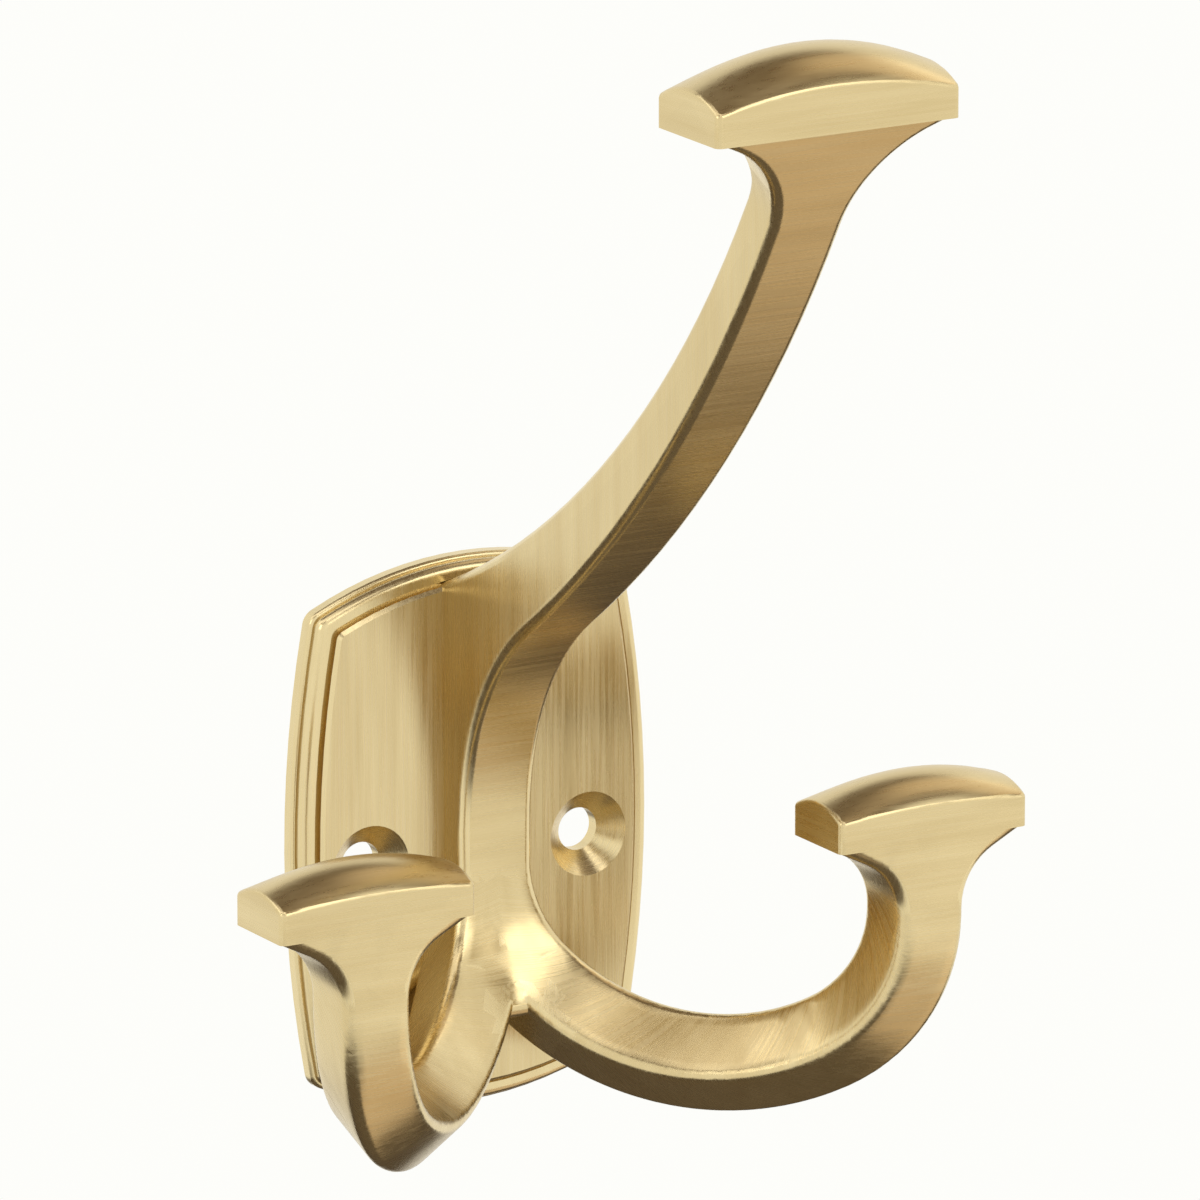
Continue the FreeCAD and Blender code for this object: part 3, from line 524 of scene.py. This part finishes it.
@dataclass
class Casting:
    """The brass casting: plate, web, top prong, two lower prongs and three heads."""

    node: str = "hook_body"
    piece_name: str = "brass_casting"
    field_height: float = 0.0039
    field_margin: float = 0.0001
    stem_half_width: float = 0.0047
    stem_middle: float = 0.0464
    top_seat: float = 0.0928
    low_seat: float = 0.0036
    low_reach: float = 0.022
    split_height: float = -0.004
    hole_spacing: float = 0.0273
    hole_height: float = -0.002
    sink_radius: float = 0.00478
    sink_margin: float = 0.00001
    flat_facing: float = 0.99
    front_facing: float = 0.75
    crown_facing: float = 0.45
    side_facing: float = 0.6
    edge_facing: tuple[float, float] = (0.15, 0.92)
    join_distance: float = 0.000002
    crease: float = math.radians(28)
    fork_from: Direction = (-0.0026, -0.0150, -0.0170)
    fork_to: Direction = (0.0026, -0.0080, -0.0112)
    fork_factor: float = 0.5
    fork_rounds: int = 14
    finishes: dict[Brushing, BrushedBrass] = field(default_factory=brass_finishes)
    crowns: list[Crown] = field(default_factory=head_crowns)

    def in_sink(self, middle: Vector) -> bool:
        """Say whether a face lies in one of the two countersinks.

        Args:
            middle: The face's middle.

        Returns:
            Whether it does.
        """
        aside = math.hypot(abs(middle.x) - self.hole_spacing / 2, middle.z - self.hole_height)
        return aside < self.sink_radius and middle.y > -self.field_height - self.sink_margin

    def on_head(self, middle: Vector) -> bool:
        """Say whether a face lies on one of the three heads.

        Args:
            middle: The face's middle.

        Returns:
            Whether it does.
        """
        on_low_head = middle.z > self.low_seat and abs(middle.x) > self.low_reach
        return middle.z > self.top_seat or on_low_head

    def brushing_at(self, middle: Vector, normal: Vector) -> Brushing:
        """Say how a face was brushed.

        Args:
            middle: The face's middle.
            normal: The face's outward direction.

        Returns:
            The way in which it was brushed.
        """
        if self.in_sink(middle):
            return Brushing.TURNED
        if middle.y > -self.field_height - self.field_margin:
            at_front = middle.y < -self.field_height + self.field_margin
            on_field = at_front and normal.y < -self.flat_facing
            return Brushing.FIELD if on_field else Brushing.RIM
        on_side = abs(normal.x) > self.side_facing
        if self.on_head(middle):
            if normal.z > self.crown_facing:
                return Brushing.CROWN
            return Brushing.ENDS if on_side else Brushing.ACROSS
        slightest, steepest = self.edge_facing
        if slightest < abs(normal.x) < steepest:
            if abs(middle.x) < self.stem_half_width or middle.z > self.split_height:
                return Brushing.RIM
        on_prong = abs(middle.x) > self.stem_half_width or middle.z < self.split_height
        if on_prong and middle.z <= self.stem_middle:
            outward = normal.y < -self.front_facing and abs(middle.x) > self.low_reach
            return Brushing.ACROSS if outward else Brushing.BEND
        return Brushing.UPRIGHT if on_side else Brushing.ACROSS

    def is_flat(self, place: Vector) -> bool:
        """Say whether a point lies off the bends of the two lower prongs.

        Args:
            place: The point.

        Returns:
            Whether it does.
        """
        on_web = abs(place.x) < self.stem_half_width and place.z > self.split_height
        on_plate = place.y > -self.field_height - self.field_margin
        return on_web or on_plate or place.z > self.low_seat

    def build(self) -> bpy.types.Object:
        """Make one closed, smoothly shaded mesh of the casting and dress it.

        Returns:
            The piece.
        """
        bpy.ops.object.select_all(action="DESELECT")
        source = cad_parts[self.node]
        piece = bpy.data.objects.new(self.piece_name, source.data.copy())
        bpy.context.scene.collection.objects.link(piece)
        piece.select_set(True)
        bpy.context.view_layer.objects.active = piece
        bpy.ops.object.mode_set(mode="EDIT")
        bpy.ops.mesh.select_all(action="SELECT")
        bpy.ops.mesh.remove_doubles(threshold=self.join_distance)
        bpy.ops.object.mode_set(mode="OBJECT")
        bpy.ops.mesh.customdata_custom_splitnormals_clear()
        self.soften_fork(piece)
        bpy.ops.object.shade_smooth_by_angle(angle=self.crease)
        crowned = self.crown_faces(piece)
        self.crease_rims(piece, crowned)
        self.even_out(piece, crowned)
        self.true_crowns(piece, crowned)
        piece.vertex_groups.clear()
        self.dress(piece)
        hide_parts(self.node)
        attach(piece, "root")
        return piece

    def soften_fork(self, piece: bpy.types.Object) -> None:
        """Blend the valley between the two lower prongs into the bridge below it.

        Args:
            piece: The casting.
        """
        bpy.ops.object.mode_set(mode="EDIT")
        bpy.ops.mesh.select_mode(type="VERT")
        bpy.ops.mesh.select_all(action="DESELECT")
        bpy.ops.object.mode_set(mode="OBJECT")
        for vertex in piece.data.vertices:
            vertex.select = all(low < value < high for low, value, high
                                in zip(self.fork_from, vertex.co, self.fork_to))
        bpy.ops.object.mode_set(mode="EDIT")
        bpy.ops.mesh.vertices_smooth(factor=self.fork_factor, repeat=self.fork_rounds)
        bpy.ops.mesh.select_all(action="DESELECT")
        bpy.ops.object.mode_set(mode="OBJECT")

    def crown_faces(self, piece: bpy.types.Object) -> dict[int, Crown]:
        """Find the casting's faces that lie on a crown.

        Args:
            piece: The casting.

        Returns:
            The faces' numbers, each with its crown.
        """
        found = {}
        for crown in self.crowns:
            found.update({face.index: crown for face in piece.data.polygons
                          if crown.holds(face.center)})
        return found

    def crease_rims(self, piece: bpy.types.Object, crowned: dict[int, Crown]) -> None:
        """Keep the line sharp where a crown meets the rounding of its rim.

        Args:
            piece: The casting.
            crowned: The faces that lie on a crown.
        """
        beside = {}
        for face in piece.data.polygons:
            for key in face.edge_keys:
                beside.setdefault(key, set()).add(face.index in crowned)
        for edge in piece.data.edges:
            if len(beside[edge.key]) > 1:
                edge.use_edge_sharp = True

    def even_out(self, piece: bpy.types.Object, crowned: dict[int, Crown]) -> None:
        """Keep flat faces flat in the shading, beside the rounded edges.

        Args:
            piece: The casting.
            crowned: The faces that lie on a crown.
        """
        on_crown = {point for index in crowned for point in piece.data.polygons[index].vertices}
        flat = piece.vertex_groups.new(name="flat_faces")
        flat.add([vertex.index for vertex in piece.data.vertices
                  if self.is_flat(vertex.co) and vertex.index not in on_crown], 1.0, "ADD")
        weighted = piece.modifiers.new("flat_faces", "WEIGHTED_NORMAL")
        weighted.mode = "FACE_AREA"
        weighted.keep_sharp = True
        weighted.vertex_group = flat.name
        bpy.ops.object.modifier_apply(modifier=weighted.name)

    def true_crowns(self, piece: bpy.types.Object, crowned: dict[int, Crown]) -> None:
        """Shade the crowns by their own form, free of the mesh's facets.

        Args:
            piece: The casting.
            crowned: The faces that lie on a crown.
        """
        mesh = piece.data
        facings = [Vector(corner.vector) for corner in mesh.corner_normals]
        for index, crown in crowned.items():
            face = mesh.polygons[index]
            for corner, point in zip(face.loop_indices, face.vertices):
                facings[corner] = crown.facing(*crown.spot(mesh.vertices[point].co))
        mesh.normals_split_custom_set(facings)

    def dress(self, piece: bpy.types.Object) -> None:
        """Give each face of the casting its finish.

        Args:
            piece: The casting.
        """
        piece.data.materials.clear()
        slots = {}
        for number, (brushing, finish) in enumerate(self.finishes.items()):
            piece.data.materials.append(finish.material())
            slots[brushing] = number
        for face in piece.data.polygons:
            face.material_index = slots[self.brushing_at(face.center, face.normal)]


@dataclass(frozen=True)
class Lamp:
    """A square soft lamp: its place, the length of its sides, its watts and its tint."""

    name: str
    place: Direction
    size: float
    power: float
    tint: Colour = WHITE_LIGHT

    def hang(self, aim: Direction) -> None:
        """Hang the lamp so that it looks at a point, out of the camera's sight.

        Args:
            aim: The point.
        """
        lamp = bpy.data.lights.new(self.name, "AREA")
        lamp.size = self.size
        lamp.energy = self.power
        lamp.color = self.tint
        holder = bpy.data.objects.new(self.name, lamp)
        holder.location = self.place
        look = Vector(aim) - Vector(self.place)
        holder.rotation_euler = look.to_track_quat("-Z", "Y").to_euler()
        holder.visible_camera = False
        bpy.context.scene.collection.objects.link(holder)


@dataclass
class Studio:
    """A pale floor, a pale round backdrop, soft lamps and the camera."""

    aim: Direction = (0.0164, -0.0018, 0.0236)
    azimuth: float = math.radians(-30.5)
    elevation: float = math.radians(14.84)
    distance: float = 1.5065
    lens: float = 413.9
    sensor_width: float = 36.0
    nearest_sight: float = 0.05
    farthest_sight: float = 20.0
    floor_height: float = -1.9
    floor_pale: Colour = (0.62, 0.57, 0.50)
    backdrop_radius: float = 3.0
    backdrop_height: float = 4.8
    backdrop_sides: int = 96
    backdrop_white: Colour = (0.985, 0.985, 0.955)
    backdrop_matt: Colour = (0.50, 0.47, 0.43)
    backdrop_again: Colour = (0.56, 0.52, 0.46)
    again_depth: float = 1.5
    room_light: Colour = (0.15, 0.11, 0.075)
    lamps: tuple[Lamp, ...] = (
        Lamp("lamp_front", place=(0.57, -1.5, 0.95), size=0.9, power=3.3),
        Lamp("lamp_top", place=(-0.15, -0.95, 1.8), size=0.8, power=3.2),
        Lamp("lamp_above", place=(-0.67, -0.02, 1.8), size=1.2, power=5.0),
        Lamp("lamp_left", place=(-1.6, -0.4, 0.9), size=0.8, power=2.6),
        Lamp("lamp_back", place=(-1.16, 0.72, 1.48), size=0.8, power=2.0),
        Lamp("lamp_right", place=(1.23, 0.11, 1.58), size=1.1, power=2.4,
             tint=(1.0, 0.85, 0.68)),
        Lamp("lamp_low", place=(0.90, -0.65, -1.15), size=0.95, power=1.8,
             tint=(1.0, 0.82, 0.64)),
    )

    def floor_finish(self) -> bpy.types.Material:
        """Make the floor's matt paint.

        Returns:
            The material.
        """
        graph = NodeGraph("floor_pale")
        matt = graph.add("ShaderNodeBsdfDiffuse")
        matt.inputs["Color"].default_value = (*self.floor_pale, 1.0)
        graph.join(matt.outputs["BSDF"], graph.output.inputs["Surface"])
        return graph.material

    def backdrop_finish(self) -> bpy.types.Material:
        """Make the backdrop's paint: white to the eye and in the metal, and matt to the lamps.

        Metal that shows other metal shows the backdrop in it a little dimmer.

        Returns:
            The material.
        """
        graph = NodeGraph("backdrop_white")
        matt = graph.add("ShaderNodeBsdfDiffuse")
        matt.inputs["Color"].default_value = (*self.backdrop_matt, 1.0)
        paths = graph.add("ShaderNodeLightPath")
        seen = graph.maths("MAXIMUM", paths.outputs["Is Camera Ray"],
                           graph.maths("MAXIMUM", paths.outputs["Is Glossy Ray"],
                                       paths.outputs["Is Transmission Ray"]))
        again = graph.maths("GREATER_THAN", paths.outputs["Ray Depth"], self.again_depth)
        white = graph.add("ShaderNodeEmission")
        graph.join(graph.blend(again, self.backdrop_white, self.backdrop_again),
                   white.inputs["Color"])
        mixed = graph.add("ShaderNodeMixShader")
        graph.join(seen, mixed.inputs["Fac"])
        graph.join(matt.outputs["BSDF"], mixed.inputs[1])
        graph.join(white.outputs["Emission"], mixed.inputs[2])
        graph.join(mixed.outputs["Shader"], graph.output.inputs["Surface"])
        return graph.material

    def build_floor(self) -> bpy.types.Object:
        """Lay the floor, well below the hook, which hangs on no wall here.

        Returns:
            The floor.
        """
        bpy.ops.object.select_all(action="DESELECT")
        bpy.ops.mesh.primitive_circle_add(vertices=self.backdrop_sides,
                                          radius=self.backdrop_radius, fill_type="NGON",
                                          location=(0, 0, self.floor_height))
        floor = bpy.context.object
        floor.name = "floor"
        floor.data.materials.append(self.floor_finish())
        return floor

    def build_backdrop(self) -> bpy.types.Object:
        """Stand a round wall at the floor's edge.

        Returns:
            The backdrop.
        """
        bpy.ops.object.select_all(action="DESELECT")
        middle = self.floor_height + self.backdrop_height / 2
        bpy.ops.mesh.primitive_cylinder_add(vertices=self.backdrop_sides,
                                            radius=self.backdrop_radius,
                                            depth=self.backdrop_height, end_fill_type="NOTHING",
                                            location=(0, 0, middle))
        backdrop = bpy.context.object
        backdrop.name = "backdrop"
        backdrop.data.materials.append(self.backdrop_finish())
        return backdrop

    def light_world(self) -> None:
        """Let dim warm light in over the backdrop's edge."""
        world = bpy.data.worlds.new("room")
        bpy.context.scene.world = world
        world.use_nodes = True
        sky = world.node_tree.nodes["Background"]
        sky.inputs["Color"].default_value = (*self.room_light, 1.0)
        sky.inputs["Strength"].default_value = 1.0

    def build_camera(self) -> bpy.types.Object:
        """Place the camera.

        Returns:
            The camera.
        """
        back = Vector((math.sin(self.azimuth) * math.cos(self.elevation),
                       -math.cos(self.azimuth) * math.cos(self.elevation),
                       math.sin(self.elevation)))
        camera = bpy.data.objects.new("camera", bpy.data.cameras.new("camera"))
        camera.data.lens = self.lens
        camera.data.sensor_width = self.sensor_width
        camera.data.clip_start = self.nearest_sight
        camera.data.clip_end = self.farthest_sight
        camera.location = Vector(self.aim) + back * self.distance
        camera.rotation_euler = (-back).to_track_quat("-Z", "Y").to_euler()
        bpy.context.scene.collection.objects.link(camera)
        bpy.context.scene.camera = camera
        return camera

    def build(self) -> list[bpy.types.Object]:
        """Set up the whole studio.

        Returns:
            The floor and the backdrop.
        """
        built = [self.build_floor(), self.build_backdrop()]
        self.light_world()
        for lamp in self.lamps:
            lamp.hang(self.aim)
        self.build_camera()
        bpy.context.scene.view_settings.view_transform = "Standard"
        return built


def main() -> None:
    """Build the studio and the hook, and report each piece."""
    logging.basicConfig(level=logging.INFO, format="%(name)s: %(message)s")
    for piece in (*Studio().build(), Casting().build()):
        log.info("%s: %d faces, %d finishes", piece.name, len(piece.data.polygons),
                 len(piece.data.materials))


if __name__ == "__main__":
    main()
